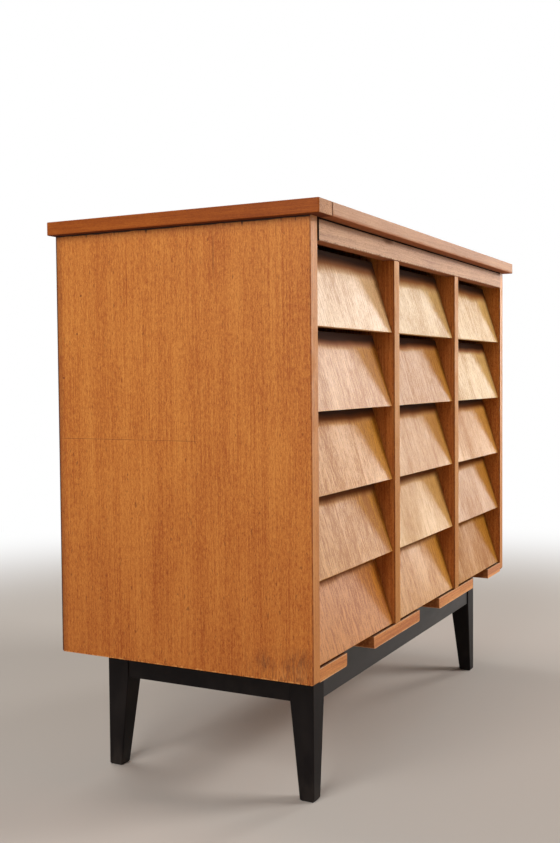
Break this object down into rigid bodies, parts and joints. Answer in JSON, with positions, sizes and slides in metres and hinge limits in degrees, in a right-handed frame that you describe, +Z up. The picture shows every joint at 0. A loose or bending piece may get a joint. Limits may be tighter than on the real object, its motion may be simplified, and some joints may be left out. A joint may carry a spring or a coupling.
{
  "type": "chest of drawers",
  "caption": "Chest of drawers with slanted fronts that are gripped at their lower edges, an overhanging veneered top and a black base on tapered legs.",
  "frame": {"origin": "on the floor under the middle of the top board's outline", "axes": "+X to the viewer's right along the chest's width, -Y out of the front, where the drawers open, and +Z up"},
  "size_m": [1.072, 0.5, 0.941],
  "materials": {
    "side_veneer": "orange-brown straight-grained hardwood veneer, satin oil finish",
    "front_veneer": "paler golden hardwood veneer, satin",
    "top_wood": "reddish-brown hardwood, satin oil finish",
    "edge_wood": "light brown solid hardwood edges, satin",
    "drawer_wood": "pale plain hardwood, unfinished",
    "plywood": "thin plywood, unfinished",
    "black_lacquer": "wood painted satin black"
  },
  "bodies": {
    "carcass": {"side_panel_left": "side_veneer", "side_panel_right": "side_veneer", "divider_left": "edge_wood", "divider_right": "edge_wood", "bottom_board": "edge_wood", "back_panel": "plywood", "top_rail": "edge_wood", "top_board": "top_wood", "top_end_strip": "top_wood", "top_front_lipping": "edge_wood", "base_frame": "black_lacquer", "leg_front_left": "black_lacquer", "leg_front_right": "black_lacquer", "leg_rear_left": "black_lacquer", "leg_rear_right": "black_lacquer"},
    "drawer_r1c1": {"drawer_r1c1_front": "front_veneer", "drawer_r1c1_box": "drawer_wood", "drawer_r1c1_bottom": "plywood"},
    "drawer_r1c2": {"drawer_r1c2_front": "front_veneer", "drawer_r1c2_box": "drawer_wood", "drawer_r1c2_bottom": "plywood"},
    "drawer_r1c3": {"drawer_r1c3_front": "front_veneer", "drawer_r1c3_box": "drawer_wood", "drawer_r1c3_bottom": "plywood"},
    "drawer_r2c1": {"drawer_r2c1_front": "front_veneer", "drawer_r2c1_box": "drawer_wood", "drawer_r2c1_bottom": "plywood"},
    "drawer_r2c2": {"drawer_r2c2_front": "front_veneer", "drawer_r2c2_box": "drawer_wood", "drawer_r2c2_bottom": "plywood"},
    "drawer_r2c3": {"drawer_r2c3_front": "front_veneer", "drawer_r2c3_box": "drawer_wood", "drawer_r2c3_bottom": "plywood"},
    "drawer_r3c1": {"drawer_r3c1_front": "front_veneer", "drawer_r3c1_box": "drawer_wood", "drawer_r3c1_bottom": "plywood"},
    "drawer_r3c2": {"drawer_r3c2_front": "front_veneer", "drawer_r3c2_box": "drawer_wood", "drawer_r3c2_bottom": "plywood"},
    "drawer_r3c3": {"drawer_r3c3_front": "front_veneer", "drawer_r3c3_box": "drawer_wood", "drawer_r3c3_bottom": "plywood"},
    "drawer_r4c1": {"drawer_r4c1_front": "front_veneer", "drawer_r4c1_box": "drawer_wood", "drawer_r4c1_bottom": "plywood"},
    "drawer_r4c2": {"drawer_r4c2_front": "front_veneer", "drawer_r4c2_box": "drawer_wood", "drawer_r4c2_bottom": "plywood"},
    "drawer_r4c3": {"drawer_r4c3_front": "front_veneer", "drawer_r4c3_box": "drawer_wood", "drawer_r4c3_bottom": "plywood"},
    "drawer_r5c1": {"drawer_r5c1_front": "front_veneer", "drawer_r5c1_box": "drawer_wood", "drawer_r5c1_bottom": "plywood"},
    "drawer_r5c2": {"drawer_r5c2_front": "front_veneer", "drawer_r5c2_box": "drawer_wood", "drawer_r5c2_bottom": "plywood"},
    "drawer_r5c3": {"drawer_r5c3_front": "front_veneer", "drawer_r5c3_box": "drawer_wood", "drawer_r5c3_bottom": "plywood"}
  },
  "joints": [
    {"name": "drawer_r1c1_slide", "type": "slide", "parent": "carcass", "child": "drawer_r1c1", "axis": [0, -1, 0], "range_m": [0, 0.3]},
    {"name": "drawer_r1c2_slide", "type": "slide", "parent": "carcass", "child": "drawer_r1c2", "axis": [0, -1, 0], "range_m": [0, 0.3]},
    {"name": "drawer_r1c3_slide", "type": "slide", "parent": "carcass", "child": "drawer_r1c3", "axis": [0, -1, 0], "range_m": [0, 0.3]},
    {"name": "drawer_r2c1_slide", "type": "slide", "parent": "carcass", "child": "drawer_r2c1", "axis": [0, -1, 0], "range_m": [0, 0.3]},
    {"name": "drawer_r2c2_slide", "type": "slide", "parent": "carcass", "child": "drawer_r2c2", "axis": [0, -1, 0], "range_m": [0, 0.3]},
    {"name": "drawer_r2c3_slide", "type": "slide", "parent": "carcass", "child": "drawer_r2c3", "axis": [0, -1, 0], "range_m": [0, 0.3]},
    {"name": "drawer_r3c1_slide", "type": "slide", "parent": "carcass", "child": "drawer_r3c1", "axis": [0, -1, 0], "range_m": [0, 0.3]},
    {"name": "drawer_r3c2_slide", "type": "slide", "parent": "carcass", "child": "drawer_r3c2", "axis": [0, -1, 0], "range_m": [0, 0.3]},
    {"name": "drawer_r3c3_slide", "type": "slide", "parent": "carcass", "child": "drawer_r3c3", "axis": [0, -1, 0], "range_m": [0, 0.3]},
    {"name": "drawer_r4c1_slide", "type": "slide", "parent": "carcass", "child": "drawer_r4c1", "axis": [0, -1, 0], "range_m": [0, 0.3]},
    {"name": "drawer_r4c2_slide", "type": "slide", "parent": "carcass", "child": "drawer_r4c2", "axis": [0, -1, 0], "range_m": [0, 0.3]},
    {"name": "drawer_r4c3_slide", "type": "slide", "parent": "carcass", "child": "drawer_r4c3", "axis": [0, -1, 0], "range_m": [0, 0.3]},
    {"name": "drawer_r5c1_slide", "type": "slide", "parent": "carcass", "child": "drawer_r5c1", "axis": [0, -1, 0], "range_m": [0, 0.3]},
    {"name": "drawer_r5c2_slide", "type": "slide", "parent": "carcass", "child": "drawer_r5c2", "axis": [0, -1, 0], "range_m": [0, 0.3]},
    {"name": "drawer_r5c3_slide", "type": "slide", "parent": "carcass", "child": "drawer_r5c3", "axis": [0, -1, 0], "range_m": [0, 0.3]}
  ]
}
